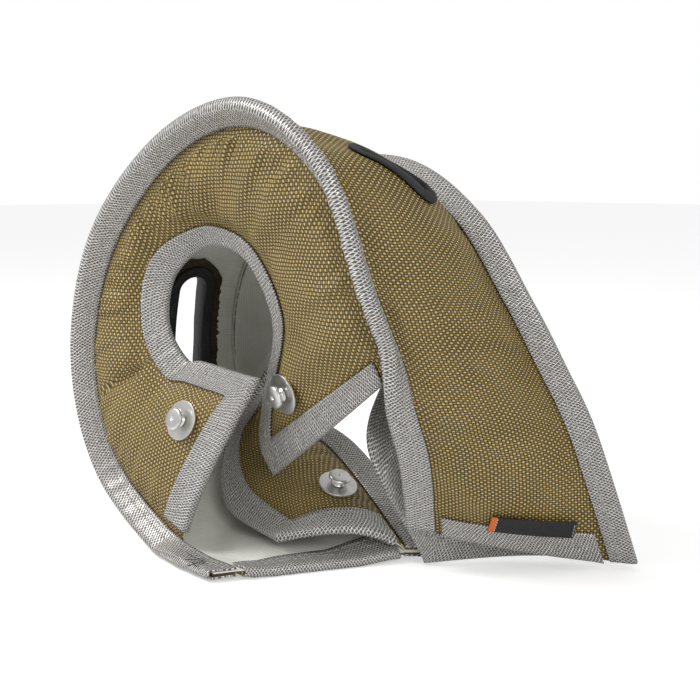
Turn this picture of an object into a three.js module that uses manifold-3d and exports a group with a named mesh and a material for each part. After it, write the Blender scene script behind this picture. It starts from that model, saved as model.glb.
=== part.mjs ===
// Turbo heat blanket: a padded cloth shell that wraps a turbine housing, opened a little at its seam.
// Millimetres, +Z up. X runs across the front panel, the front panel faces -Y and the origin is on the floor.
// Each panel is a sandwich: outer basalt cloth, fibre batt, silica liner, with mesh tape over every edge.
import * as THREE from 'three';
import { mergeVertices } from 'three/addons/utils/BufferGeometryUtils.js';
import Module from 'manifold-3d';

const wasm = await Module();
wasm.setup();

// Overall sizes of the shell as it stands
const faceWidth = 198;
const faceHeight = 202;
const bandDepth = 92;
// Layers of the sandwich and the room left between two pieces
const clothThick = 0.8;
const battThick = 5.5;
const linerThick = 0.6;
const gap = 0.3;
// Tape folded over the edges, and the seam allowance that it covers
const tapeThick = 0.9;
const tapeWidth = 11;
const tapeGap = 0.5;
// Openings
const frontHoleWidth = 66;
const frontHoleHeight = 62;
const rearHoleWidth = 70;
const rearHoleHeight = 60;
const topSlotLength = 36;
const topSlotWidth = 9;
const sideSlotLength = 60;
const sideSlotWidth = 18;
const slotEdgeWidth = 4;
const slotEdgeThick = 0.8;
const slotEdgeGap = 0.75;
const patchMargin = 8;
const patchThick = 0.8;
// Lacing studs
const washerDiameter = 18;
const washerThick = 1;
const capDiameter = 10.2;
const capThick = 1.8;
const neckDiameter = 5;
const studHeight = 4.8;
const pinDiameter = 3;
const backingDiameter = 14;
const backingThick = 0.8;
const rivetDiameter = 6;
const rivetThick = 0.9;
// Label tab sewn into the foot's end tape
const labelLength = 38;
const labelHeight = 8;
const labelThick = 0.8;
// Folds of the cloth
const puckerHeight = 1.3;
// Distance between two columns round the band, and rows across each panel
const columnStep = 20;
const bandRows = 6;
const faceRows = 5;

const drawn = { width: 198, height: 202, depth: 92 };
const at = (x, y, z) => new THREE.Vector3(
  x * faceWidth / drawn.width, y * bandDepth / drawn.depth, z * faceHeight / drawn.height);
const mixed = (a, b, k) => a.clone().lerp(b, k);
const unit = (a, b) => b.clone().sub(a).normalize();
const clamp = (x, low, high) => Math.min(Math.max(x, low), high);
const smooth = (low, high, x) => THREE.MathUtils.smoothstep(x, low, high);

// A point on the rim of a hole, by its angle from +X; back is how far it leans back along +Y
const ring = (centre, width, height) => (degrees, back = 0) => {
  const a = THREE.MathUtils.degToRad(degrees);
  return centre.clone().add(new THREE.Vector3(width / 2 * Math.cos(a), back, height / 2 * Math.sin(a)));
};
const onFrontHole = ring(at(-29, 26, 113), frontHoleWidth, frontHoleHeight);
const onRearHole = ring(at(-14, 92, 112), rearHoleWidth, rearHoleHeight);

// Stations round the band, from the foot's end, up the leg, over the top, down the left and along the floor.
// front and rear are the band's seam lines; inner is the matching point on the hole edge of the rear panel.
// sag is how far the band swells out between its seams, dome how far the rear panel swells.
const stations = [
  { front: at(56, 78, 20), rear: at(104, 138, 5), inner: at(45, 84, 3), sag: 2, dome: 7 },
  { front: at(66, 62, 58), rear: at(97, 116, 62), inner: at(38, 56, 58), sag: 3, dome: 7 },
  { front: at(70, 40, 96), rear: at(88, 104, 93), inner: at(24, 84, 90), sag: 4, dome: 8 },
  { front: at(69, 25, 126), rear: at(77, 95, 120), inner: onRearHole(8), sag: 5, dome: 6 },
  { front: at(57, 13, 172), rear: at(54, 88, 154), inner: onRearHole(50), sag: 5, dome: 5 },
  { front: at(18, 8, 194), rear: at(14, 86, 173), inner: onRearHole(85), sag: 2, dome: 4 },
  { front: at(-36, 8, 181), rear: at(-42, 86, 165), inner: onRearHole(125), sag: 2, dome: 4 },
  { front: at(-85, 8, 139), rear: at(-86, 86, 130), inner: onRearHole(165), sag: 4, dome: 5 },
  { front: at(-103, 8, 86), rear: at(-98, 86, 84), inner: onRearHole(212, -8), sag: 6, dome: 7 },
  { front: at(-87, 9, 38), rear: at(-84, 90, 52), inner: at(-61, 57, 51), sag: 8, dome: 8 },
  { front: at(-36, 10, 8), rear: at(-30, 94, 37), inner: at(-44, 41, 20), sag: 20, dome: 13 },
  { front: at(4, 9, 4), rear: at(35, 80, 5), inner: at(-1, 37, 12), sag: 3, dome: 9 },
];
const last = stations.length - 1;

// Places on the band where the front panel starts and ends: the two sides of the slit
const slitRight = 2.05;
const slitLeft = 10;
// Inner edge of the front panel: the right lobe's tip, up the hole's right side, round it, and the left lobe
const frontInner = [
  { s: slitRight, point: at(-14, 46, 39), dome: 3 },
  { s: 2.35, point: at(-19, 43, 52), dome: 4 },
  { s: 2.7, point: at(-11, 39, 76), dome: 5 },
  { s: 3.2, point: onFrontHole(-8, 7), dome: 6 },
  { s: 4, point: onFrontHole(45, 2), dome: 6 },
  { s: 5, point: onFrontHole(80), dome: 6 },
  { s: 6, point: onFrontHole(115), dome: 5 },
  { s: 7, point: onFrontHole(152, -5), dome: 5 },
  { s: 8, point: onFrontHole(195, -7), dome: 6 },
  { s: 8.8, point: onFrontHole(232, -5), dome: 8 },
  { s: 9.3, point: at(-36, 23, 88), dome: 8 },
  { s: slitLeft, point: at(3, 21, 86), dome: 5 },
];

// Smooth run through a list of points: place counts the points from 0
function along(points, place) {
  const k = clamp(Math.floor(place), 0, points.length - 2);
  const u = place - k;
  const pick = (n) => points[clamp(n, 0, points.length - 1)];
  const [a, b, c, d] = [pick(k - 1), pick(k), pick(k + 1), pick(k + 2)];
  const curve = (p, q, r, t) => {
    const slopeIn = (r - p) / 2;
    const slopeOut = (t - q) / 2;
    return q + slopeIn * u + (3 * (r - q) - 2 * slopeIn - slopeOut) * u * u
      + (2 * (q - r) + slopeIn + slopeOut) * u * u * u;
  };
  if (typeof a === 'number') return curve(a, b, c, d);
  return new THREE.Vector3(curve(a.x, b.x, c.x, d.x), curve(a.y, b.y, c.y, d.y), curve(a.z, b.z, c.z, d.z));
}
const list = (key) => stations.map((station) => station[key]);
const seam = { front: list('front'), rear: list('rear'), inner: list('inner') };
const swell = { band: list('sag'), rear: list('dome') };
const onSeam = (side, s) => along(seam[side], s);

function frontEdge(s) {
  let k = 0;
  while (k < frontInner.length - 2 && s > frontInner[k + 1].s) k += 1;
  const place = k + clamp((s - frontInner[k].s) / (frontInner[k + 1].s - frontInner[k].s), 0, 1);
  return { point: along(frontInner.map((f) => f.point), place), dome: along(frontInner.map((f) => f.dome), place) };
}

// Direction of travel round the band at a station
function travel(curve, s) {
  const step = 0.05;
  return unit(curve(clamp(s - step, 0, last)), curve(clamp(s + step, 0, last)));
}

// The three panels as bare middle surfaces. v runs 0 to 1 from the first seam to the other edge.
const panels = {
  band: {
    from: (s) => onSeam('front', s), to: (s) => onSeam('rear', s),
    swell: (s) => along(swell.band, s), flip: 1, full: 0,
  },
  front: {
    from: (s) => onSeam('front', s), to: (s) => frontEdge(s).point,
    swell: (s) => frontEdge(s).dome, flip: -1, full: 0.8,
  },
  rear: {
    from: (s) => onSeam('rear', s), to: (s) => onSeam('inner', s),
    swell: (s) => along(swell.rear, s), flip: 1, full: 0.55,
  },
};

// Normal of the straight line from seam to edge, pointing to the cloth side
function flatNormal(panel, s) {
  const across = unit(panel.from(s), panel.to(s));
  const round = travel((q) => mixed(panel.from(q), panel.to(q), 0.4), s);
  return across.cross(round).normalize().multiplyScalar(panel.flip);
}

function middle(panel, s, v) {
  const shape = Math.sin(Math.PI * Math.pow(clamp(v, 0, 1), 1 - 0.45 * panel.full));
  return mixed(panel.from(s), panel.to(s), v)
    .addScaledVector(flatNormal(panel, s), panel.swell(s) * shape);
}

function surfaceNormal(panel, s, v) {
  const e = 0.03;
  const across = unit(middle(panel, s, clamp(v - e, 0, 1)), middle(panel, s, clamp(v + e, 0, 1)));
  const round = travel((q) => middle(panel, q, v), s);
  return across.cross(round).normalize().multiplyScalar(panel.flip);
}

// Gathers and soft folds of the outer cloth, flat near the studs and slots that sit on it
const pucker = (s, v) => puckerHeight * Math.sin(Math.PI * clamp(v, 0, 1))
  * (0.55 * Math.sin(9.3 * s + 1.1) + 0.45 * Math.sin(5.1 * s - 5 * v + 0.4) + 0.35 * Math.sin(13.7 * s + 3 * v));

// Where the front panel pulls on the seam, and where it lies in the seam: not past the slit
const pulls = (side, s) => side === 'rear' ? 1
  : smooth(slitRight - 0.8, slitRight + 0.2, s) * (1 - smooth(slitLeft - 0.3, slitLeft + 0.3, s));
const fills = (side, s) => side === 'rear' ? 1
  : smooth(slitRight - 0.6, slitRight - 0.05, s) * (1 - smooth(slitLeft + 0.05, slitLeft + 0.5, s));

// Half the thickness of the cloths and liners pressed together in a fin, and what the tape adds
const finHalf = 2 * gap + linerThick + clothThick;
const tapeRoom = tapeGap + tapeThick;
const halfAt = (batt) => batt > 0 ? batt / 2 + gap + clothThick : gap / 2 + clothThick;

// Keeps a point at or above a height over the floor
const lifted = (p, height) => {
  p.z = Math.max(p.z, height);
  return p;
};

// Fin of seam allowance, away from both sheets that meet at the seam: its foot on the seam line and its tip
function fin(side, s) {
  const foot = onSeam(side, s);
  const band = unit(foot, onSeam(side === 'front' ? 'rear' : 'front', s));
  const face = unit(foot, side === 'front' ? frontEdge(clamp(s, slitRight, slitLeft)).point : onSeam('inner', s));
  const out = band.clone().addScaledVector(face, pulls(side, s)).negate().normalize();
  const across = out.clone().cross(travel((q) => onSeam(side, q), s)).normalize();
  if (across.dot(flatNormal(panels.band, s)) < 0) across.negate();
  const clear = (finHalf + tapeRoom) * Math.abs(across.z);
  const nose = (tapeRoom + tapeGap) * Math.max(-out.z, 0);
  const tip = lifted(foot.clone().addScaledVector(out, tapeWidth), clear + nose);
  return { foot: lifted(foot, clear), tip, across };
}

// One cross line of a panel: spots on its middle surface, with their normal and batt thickness.
// fullness thins the batt, down to none along a free end.
function crossLine(name, s, rows, fullness) {
  const panel = panels[name];
  const hem = tapeWidth / panel.from(s).distanceTo(panel.to(s));
  const hemmed = fullness < 1 ? tapeRoom : 0;
  const inFin = (side, turn, key) => {
    const f = fin(side, s);
    const p = f[key].clone().addScaledVector(f.across, turn * fills(side, s) * (linerThick + gap));
    return { p, n: f.across.clone().multiplyScalar(turn), batt: 0, s, v: 0 };
  };
  const first = name === 'rear' ? 'rear' : 'front';
  const turn = name === 'band' ? 1 : -1;
  const line = [inFin(first, turn, 'tip'), inFin(first, turn, 'foot')];
  const [low, high] = name === 'band' ? [hem * 0.9, 1 - hem * 0.9] : [hem * 0.9, 1 - 2.1 * hem];
  for (let k = 0; k < rows; k += 1) {
    const v = THREE.MathUtils.lerp(low, high, k / (rows - 1));
    const n = surfaceNormal(panel, s, v);
    const near = Math.min(smooth(0, 2.2 * hem, v), name === 'band' ? smooth(0, 2.2 * hem, 1 - v) : 1);
    const batt = battThick * (0.35 + 0.65 * near) * fullness;
    line.push({ p: lifted(middle(panel, s, v), (halfAt(batt) + hemmed) * Math.max(-n.z, 0)), n, batt, s, v });
  }
  if (name === 'band') {
    line.push(inFin('rear', 1, 'foot'), inFin('rear', 1, 'tip'));
    return line;
  }
  for (const v of [1 - hem, 1]) {
    const n = surfaceNormal(panel, s, v);
    line.push({ p: lifted(middle(panel, s, v), tapeRoom + halfAt(0)), n, batt: 0, s, v });
  }
  return line;
}

// Places of the columns round the band, shared by the three panels so that their seams meet.
// Each free end and each side of the slit has a column of its own one tape width in.
const midBand = (s) => mixed(onSeam('front', s), onSeam('rear', s), 0.5);
const midFace = (s) => mixed(onSeam('front', s), frontEdge(s).point, 0.6);
function hemFrom(s, way, curve) {
  let q = s;
  while (curve(q).distanceTo(curve(s)) < tapeWidth) q += 0.01 * way;
  return q;
}
function evenly(from, to) {
  let length = 0;
  for (let q = from; q < to; q += 0.05) length += midBand(q).distanceTo(midBand(Math.min(q + 0.05, to)));
  const steps = Math.max(1, Math.round(length / columnStep));
  return Array.from({ length: steps }, (_, k) => THREE.MathUtils.lerp(from, to, k / steps));
}
const slitColumns = [slitRight, hemFrom(slitRight, 1, midFace), hemFrom(slitLeft, -1, midFace), slitLeft];
const places = [0];
const marks = [hemFrom(0, 1, midBand), ...slitColumns, hemFrom(last, -1, midBand)];
for (let k = 0; k < marks.length - 1; k += 1) places.push(...evenly(marks[k], marks[k + 1]));
places.push(marks[marks.length - 1], last);
const facePlaces = places.filter((s) => s >= slitRight && s <= slitLeft);

function gridOf(name, at, rows) {
  const grid = at.map((s, k) => {
    const fromEnd = Math.min(k, at.length - 1 - k);
    return crossLine(name, s, rows, fromEnd === 0 ? 0 : fromEnd === 1 ? 0.5 : 1);
  });
  for (const spot of grid.flat()) spot.at = layersAt(spot);
  // Row from which the quads are halved the other way, so that both sides of a fin share their creases
  grid.turnRow = name === 'band' ? 2 + Math.floor(rows / 2) : grid[0].length;
  return grid;
}
const grids = {
  band: gridOf('band', places, bandRows),
  front: gridOf('front', facePlaces, faceRows),
  rear: gridOf('rear', places, faceRows),
};

// Heights of the layers over the middle surface at one spot: lower and upper face of each
function layersAt(spot) {
  const inside = spot.batt > 0;
  const b = spot.batt / 2;
  const over = inside ? gap : gap / 2;
  // Cloth that lies on the floor has no folds
  const room = spot.n.z < 0 ? Math.max(0, spot.p.z / -spot.n.z - b - over - clothThick) : Infinity;
  const lift = spot.batt > battThick * 0.6 ? clamp(pucker(spot.s, spot.v), -room, room) : 0;
  return {
    cloth: [b + over + lift, b + over + lift + clothThick],
    batt: [-b, b + lift],
    liner: [-b - over - linerThick, -b - over],
  };
}
const vertex = (spot, height) => spot.p.clone().addScaledVector(spot.n, height);

// A closed mesh from points and faces with three or more corners
function solid(name, points, faces, look) {
  const index = [];
  for (const f of faces) {
    for (let k = 2; k < f.length; k += 1) index.push(f[0], f[k - 1], f[k]);
  }
  let volume = 0;
  for (let k = 0; k < index.length; k += 3) {
    const [a, b, c] = [points[index[k]], points[index[k + 1]], points[index[k + 2]]];
    volume += a.dot(b.clone().cross(c));
  }
  if (volume < 0) index.reverse();
  const geometry = new THREE.BufferGeometry();
  geometry.setAttribute('position', new THREE.Float32BufferAttribute(points.flatMap((p) => p.toArray()), 3));
  geometry.setIndex(index);
  return named(name, geometry, look);
}
function named(name, geometry, [colour, roughness, metalness = 0]) {
  geometry.computeVertexNormals();
  const mesh = new THREE.Mesh(geometry, new THREE.MeshStandardMaterial({ color: colour, roughness, metalness }));
  mesh.name = name;
  return mesh;
}

// Sheet with thickness over a grid of spots; heights gives its lower and upper face at each spot
function sheet(name, grid, heights, look) {
  const [m, n] = [grid.length, grid[0].length];
  const points = [0, 1].flatMap((level) => grid.flatMap((line) => line.map((q) => vertex(q, heights(q)[level]))));
  const id = (i, j, level) => (level * m + i) * n + j;
  const faces = [];
  for (let i = 0; i < m - 1; i += 1) {
    for (let j = 0; j < n - 1; j += 1) {
      const around = [[i, j], [i + 1, j], [i + 1, j + 1], [i, j + 1]];
      if (j >= grid.turnRow) around.push(around.shift());
      faces.push(around.map(([p, q]) => id(p, q, 1)));
      const [a, b, c, d] = around.map(([p, q]) => id(p, q, 0));
      faces.push([a, d, c, b]);
    }
  }
  const rim = [];
  for (let i = 0; i < m - 1; i += 1) rim.push([i, 0]);
  for (let j = 0; j < n - 1; j += 1) rim.push([m - 1, j]);
  for (let i = m - 1; i > 0; i -= 1) rim.push([i, n - 1]);
  for (let j = n - 1; j > 0; j -= 1) rim.push([0, j]);
  rim.forEach(([i, j], k) => {
    const [p, q] = rim[(k + 1) % rim.length];
    faces.push([id(i, j, 0), id(p, q, 0), id(p, q, 1), id(i, j, 1)]);
  });
  return solid(name, points, faces, look);
}

// Strip of constant section along a path: each station is a ring of points, open ends are capped.
// leans says for each step whether its creases run from the folded edge inwards, as the sheet's below do.
function strip(name, rings, look, leans, closed = false) {
  const n = rings[0].length;
  const m = rings.length;
  const faces = [];
  for (let i = 0; i < (closed ? m : m - 1); i += 1) {
    for (let j = 0; j < n; j += 1) {
      const q = (j + 1) % n;
      const next = (i + 1) % m;
      const quad = [i * n + j, next * n + j, next * n + q, i * n + q];
      const outward = j === 0 || j === n / 2;
      if (outward === leans[i]) quad.push(quad.shift());
      faces.push(quad);
    }
  }
  // The section is a bent strip, so its end is closed by a row of quads
  for (let j = 0; j < (closed ? 0 : n / 2 - 1); j += 1) {
    const quad = [j, j + 1, n - 2 - j, n - 1 - j];
    faces.push(quad);
    faces.push(quad.map((k) => (m - 1) * n + k).reverse());
  }
  return solid(name, rings.flat(), faces, look);
}

const looks = {
  cloth: [0x96824b, 0.62],
  batt: [0xd8d4c6, 0.95],
  liner: [0xf0f0e8, 0.85],
  tape: [0xa5a09b, 0.5, 0.6],
  black: [0x1c1c1e, 0.7],
  patch: [0x3a2c1a, 0.8],
  steel: [0xb9b7b2, 0.3, 1],
};

// Section of tape folded over an edge: over the cloth side, round the nose and back along the other side.
// inner and edge are spots one tape width apart; over and under are the heights that the tape clears.
function fold(inner, edge, over, under, spread = 1) {
  const out = unit(inner.p, edge.p);
  out.addScaledVector(edge.n, -out.dot(edge.n)).normalize();
  const place = (spot, reach, height) => spot.p.clone().addScaledVector(out, reach * spread)
    .addScaledVector(spot.n, height);
  const [close, far] = [tapeGap, tapeRoom];
  const halfway = (over.edge + under.edge) / 2;
  return [
    place(inner, 0.5, over.inner + far), place(edge, close, over.edge + far),
    place(edge, close + far, halfway),
    place(edge, close, under.edge - far), place(inner, 0.5, under.inner - far),
    place(inner, 0.5, under.inner - close), place(edge, close, under.edge - close),
    place(edge, 2 * close, halfway),
    place(edge, close, over.edge + close), place(inner, 0.5, over.inner + close),
  ];
}
const topOf = (spot) => spot.at.cloth[1];
const underOf = (spot) => spot.at.liner[0];
const plainFold = (inner, edge, spread) => fold(
  inner, edge, { inner: topOf(inner), edge: topOf(edge) }, { inner: underOf(inner), edge: underOf(edge) }, spread);

// A spot part of the way between two, on the flat facets that the sheets have there
const between = (a, b, k) => a.map((x, i) => THREE.MathUtils.lerp(x, b[i], k));
const blend = (a, b, k) => ({
  p: mixed(a.p, b.p, k), n: mixed(a.n, b.n, k).normalize(),
  at: Object.fromEntries(['cloth', 'batt', 'liner'].map((key) => [key, between(a.at[key], b.at[key], k)])),
});
function spotAt(grid, s, v) {
  const rows = grid[0].length;
  let i = 0;
  while (i < grid.length - 2 && s > grid[i + 1][0].s) i += 1;
  let j = 2;
  while (j < rows - 2 && v > grid[i][j + 1].v && grid[i][j + 1].v > 0) j += 1;
  const share = (s - grid[i][0].s) / (grid[i + 1][0].s - grid[i][0].s);
  const onLine = (line) => blend(line[j], line[j + 1], (v - line[j].v) / (line[j + 1].v - line[j].v));
  return blend(onLine(grid[i]), onLine(grid[i + 1]), share);
}

// Tape along a whole seam: it covers the band's allowance and, where there is one, the panel's
function rimTape(name, side) {
  const n = grids.band[0].length;
  const rings = places.map((s, i) => {
    const [tip, foot] = side === 'front' ? [0, 1] : [n - 1, n - 2];
    const [edge, inner] = [grids.band[i][tip], grids.band[i][foot]];
    const sunk = (spot) => underOf(spot) - fills(side, s) * (linerThick + gap + clothThick + gap);
    return fold(inner, edge, { inner: topOf(inner), edge: topOf(edge) }, { inner: sunk(inner), edge: sunk(edge) });
  });
  return strip(name, rings, looks.tape, places.map(() => true));
}

// Place on a cross line just inside the tape of its seam
const nearSeam = (line, share = 0.9) => blend(line[1], line[2], share);

// Tape along a panel's slit sides and hole edge, in one length that turns two corners
function panelTape(name, grid) {
  const [m, n] = [grid.length - 1, grid[0].length - 1];
  const path = [];
  const leans = [];
  const add = (inner, edge, spread, lean) => {
    path.push(plainFold(inner, edge, spread));
    leans.push(lean);
  };
  const corner = (edge, next, inner, before, after, leanIn, leanOut) => {
    add(blend(inner, before, 0.3), edge, 1, leanIn);
    return () => add(blend(inner, after, 0.3), next, 1, leanOut);
  };
  add(nearSeam(grid[1]), nearSeam(grid[0]), 1, true);
  for (let j = 2; j < n - 1; j += 1) add(grid[1][j], grid[0][j], 1, true);
  const first = corner(grid[0][n - 1], grid[1][n], grid[1][n - 1], grid[1][n - 2], grid[2][n - 1], true, false);
  add(grid[1][n - 1], grid[0][n], Math.SQRT2, false);
  first();
  for (let i = 2; i < m - 1; i += 1) add(grid[i][n - 1], grid[i][n], 1, false);
  const second = corner(
    grid[m - 1][n], grid[m][n - 1], grid[m - 1][n - 1], grid[m - 2][n - 1], grid[m - 1][n - 2], false, true);
  add(grid[m - 1][n - 1], grid[m][n], Math.SQRT2, true);
  second();
  for (let j = n - 2; j > 1; j -= 1) add(grid[m - 1][j], grid[m][j], 1, true);
  add(nearSeam(grid[m - 1]), nearSeam(grid[m]), 1, true);
  return strip(name, path, looks.tape, leans);
}

// Tape across a free end of the band, between the two rim tapes
function endTape(name, grid, end) {
  const step = end === 0 ? 1 : -1;
  const [line, edge] = [grid[end + step], grid[end]];
  const rings = [plainFold(nearSeam(line, 0.3), nearSeam(edge, 0.3))];
  const leans = [end === 0];
  for (let j = 2; j < line.length - 2; j += 1) {
    rings.push(plainFold(line[j], edge[j]));
    leans.push((j < grid.turnRow) === (end === 0));
  }
  rings.push(plainFold(nearSeam(line.toReversed()), nearSeam(edge.toReversed())));
  return strip(name, rings, looks.tape, leans);
}

const part = new THREE.Group();
const titles = { band: 'wrap', front: 'front_panel', rear: 'rear_panel' };
const layers = {};
for (const [key, grid] of Object.entries(grids)) {
  const core = grid.slice(1, -1).map((line) => line.slice(2, -2));
  core.turnRow = grid.turnRow - 2;
  layers[key] = [
    sheet(`${titles[key]}_outer_cloth`, grid, (spot) => spot.at.cloth, looks.cloth),
    sheet(`${titles[key]}_fibre_batt`, core, (spot) => spot.at.batt, looks.batt),
    sheet(`${titles[key]}_silica_liner`, grid, (spot) => spot.at.liner, looks.liner),
  ];
}

// Solids for the cuts and joins
function toManifold(geometry) {
  const bare = new THREE.BufferGeometry();
  bare.setAttribute('position', geometry.getAttribute('position').clone());
  if (geometry.index) bare.setIndex(geometry.index.clone());
  const merged = mergeVertices(bare, 1e-4);
  const vertProperties = new Float32Array(merged.getAttribute('position').array);
  return new wasm.Manifold(new wasm.Mesh({ numProp: 3, vertProperties, triVerts: new Uint32Array(merged.index.array) }));
}
function cut(mesh, tools) {
  let body = toManifold(mesh.geometry);
  for (const tool of tools) body = body.subtract(tool);
  const { vertProperties, triVerts } = body.getMesh();
  mesh.geometry = new THREE.BufferGeometry();
  mesh.geometry.setAttribute('position', new THREE.BufferAttribute(vertProperties, 3));
  mesh.geometry.setIndex(new THREE.BufferAttribute(triVerts, 1));
  mesh.geometry.computeVertexNormals();
}

// A flat frame on a panel: its centre on the middle surface, x towards another place on it, z out of the cloth
function frameOn(grid, [s, v], towards) {
  const centre = spotAt(grid, s, v);
  const z = centre.n.clone();
  const x = unit(centre.p, spotAt(grid, ...towards).p);
  x.addScaledVector(z, -x.dot(z)).normalize();
  const y = z.clone().cross(x);
  const matrix = new THREE.Matrix4().makeBasis(x, y, z).setPosition(centre.p);
  return { grid, s, v, x, y, z, centre, matrix };
}
// The spot on the panel whose point at some height over it lies at x, y in the frame
function locate(frame, x, y, height = () => 0) {
  let [s, v] = [frame.s, frame.v];
  const read = (a, b) => {
    const spot = spotAt(frame.grid, a, b);
    const d = vertex(spot, height(spot)).sub(frame.centre.p);
    return [d.dot(frame.x), d.dot(frame.y)];
  };
  const step = 0.02;
  for (let k = 0; k < 6; k += 1) {
    const [here, ds, dv] = [read(s, v), read(s + step, v), read(s, v + step)];
    const [a, b, c, d] = [ds[0] - here[0], dv[0] - here[0], ds[1] - here[1], dv[1] - here[1]];
    const [ex, ey] = [x - here[0], y - here[1]];
    const scale = step / (a * d - b * c);
    s += (d * ex - b * ey) * scale;
    v += (a * ey - c * ex) * scale;
  }
  return spotAt(frame.grid, s, v);
}

// Outline of a slot with round ends, grown outwards by a reach
const slotTurns = 5;
const slotStep = 7;
function slotOutline(length, width, reach = 0) {
  const points = [];
  const straight = length - width;
  const steps = Math.ceil(straight / slotStep);
  const r = width / 2 + reach;
  for (const [side, start] of [[1, -90], [-1, 90]]) {
    for (let k = 0; k < slotTurns; k += 1) {
      const a = THREE.MathUtils.degToRad(start + 180 * k / (slotTurns - 1));
      points.push([side * straight / 2 + r * Math.cos(a), r * Math.sin(a)]);
    }
    for (let k = 1; k < steps; k += 1) points.push([side * straight * (0.5 - k / steps), side * r]);
  }
  return points;
}
function slotCutter(frame, length, width) {
  const shape = new THREE.Shape(slotOutline(length, width).map(([x, y]) => new THREE.Vector2(x, y)));
  const depth = 8 * battThick;
  const geometry = new THREE.ExtrudeGeometry(shape, { depth, bevelEnabled: false });
  geometry.translate(0, 0, -depth / 2).applyMatrix4(frame.matrix);
  return toManifold(geometry);
}

// Edging of a slot: a ring folded over the cut, from the cloth through to the innermost sheet
function slotEdging(name, frame, length, width, innerSheet) {
  const low = slotEdgeGap + innerSheet;
  const [near, far] = [slotEdgeGap, slotEdgeGap + slotEdgeThick];
  const over = (height) => (spot) => topOf(spot) + height;
  const below = (height) => (spot) => underOf(spot) - height;
  const rings = slotOutline(length, width).map((_, k) => {
    const place = (reach, height) => {
      const spot = locate(frame, ...slotOutline(length, width, reach)[k], height);
      return vertex(spot, height(spot));
    };
    return [
      place(slotEdgeWidth, over(far)), place(-far, over(far)), place(-far, below(low + slotEdgeThick)),
      place(slotEdgeWidth, below(low + slotEdgeThick)), place(slotEdgeWidth, below(low)),
      place(-near, below(low)), place(-near, over(near)), place(slotEdgeWidth, over(near)),
    ];
  });
  return strip(name, rings, looks.black, rings.map(() => false), true);
}

// Reinforcing patch on the inside of a slot: a ring of cloth from the cut outwards
function slotPatch(name, frame, length, width) {
  const reaches = [patchMargin, patchMargin * 0.65, patchMargin * 0.3, 0];
  const face = (depth) => (spot) => underOf(spot) - depth;
  const rings = slotOutline(length, width).map((_, k) => {
    const place = (reach, height) => {
      const spot = locate(frame, ...slotOutline(length, width, reach)[k], height);
      return vertex(spot, height(spot));
    };
    return [
      ...reaches.map((reach) => place(reach, face(tapeGap))),
      ...reaches.toReversed().map((reach) => place(reach, face(tapeGap + patchThick))),
    ];
  });
  return strip(name, rings, looks.patch, rings.map(() => false), true);
}

// Turned piece along a frame's z: profile points are radius and height
function turned(name, frame, profile, segments, look) {
  const points = profile.map(([r, z]) => new THREE.Vector2(r, z));
  const geometry = new THREE.LatheGeometry(points, segments);
  geometry.rotateX(Math.PI / 2).applyMatrix4(frame.matrix);
  const solidOf = toManifold(geometry);
  const { vertProperties, triVerts } = solidOf.getMesh();
  const clean = new THREE.BufferGeometry();
  clean.setAttribute('position', new THREE.BufferAttribute(vertProperties, 3));
  clean.setIndex(new THREE.BufferAttribute(triVerts, 1));
  return named(name, clean, look);
}
function washer(name, frame, outer, hole, from, thick, segments) {
  const profile = [[hole, from], [outer, from], [outer, from + thick], [hole, from + thick], [hole, from]];
  return turned(name, frame, profile, segments, looks.steel);
}

// Lacing stud: a capped post over a washer, its pin through the panel and riveted over a backing washer
function stud(name, frame) {
  const reach = (radius, height) => {
    let most = -Infinity;
    for (let k = 0; k < 12; k += 1) {
      const a = Math.PI * k / 6;
      for (const r of [radius, radius / 2]) {
        const spot = locate(frame, r * Math.cos(a), r * Math.sin(a));
        most = Math.max(most, vertex(spot, height(spot)).sub(frame.centre.p).dot(frame.z) * Math.sign(height(spot)));
      }
    }
    return most;
  };
  const top = reach(washerDiameter / 2, topOf) + gap;
  const under = -reach(backingDiameter / 2, underOf) - gap;
  const post = top + washerThick + gap;
  const cap = post + studHeight - capThick;
  const rivet = under - backingThick - gap;
  const [pin, neck, head] = [pinDiameter / 2, neckDiameter / 2, capDiameter / 2];
  const profile = [
    [0, rivet - rivetThick], [rivetDiameter / 2, rivet - rivetThick], [rivetDiameter / 2, rivet], [pin, rivet],
    [pin, post], [neck, post], [neck, cap], [head, cap], [head, cap + capThick * 0.8],
    [head * 0.85, cap + capThick], [0, cap + capThick],
  ];
  const hole = pin + gap;
  part.add(
    turned(`stud_${name}`, frame, profile, 10, looks.steel),
    washer(`stud_${name}_washer`, frame, washerDiameter / 2, hole, top, washerThick, 16),
    washer(`stud_${name}_backing`, frame, backingDiameter / 2, hole, under - backingThick, backingThick, 12),
  );
  const bore = new THREE.CylinderGeometry(hole, hole, 8 * battThick, 8);
  bore.rotateX(Math.PI / 2).applyMatrix4(frame.matrix);
  return toManifold(bore);
}

// Studs: one on each lobe of the front panel and one on each lobe of the rear panel
const cuts = { band: [], front: [], rear: [] };
const studs = [
  { name: 'front_left', panel: 'front', place: [9.56, 0.64], towards: [9.4, 0.64] },
  { name: 'front_right', panel: 'front', place: [2.6, 0.71], towards: [2.8, 0.71] },
  { name: 'rear_left', panel: 'rear', place: [10.5, 0.3], towards: [10.3, 0.3] },
  { name: 'rear_right', panel: 'rear', place: [0.5, 0.5], towards: [0.7, 0.5] },
];
for (const { name, panel, place, towards } of studs) {
  cuts[panel].push(stud(name, frameOn(grids[panel], place, towards)));
}

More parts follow.
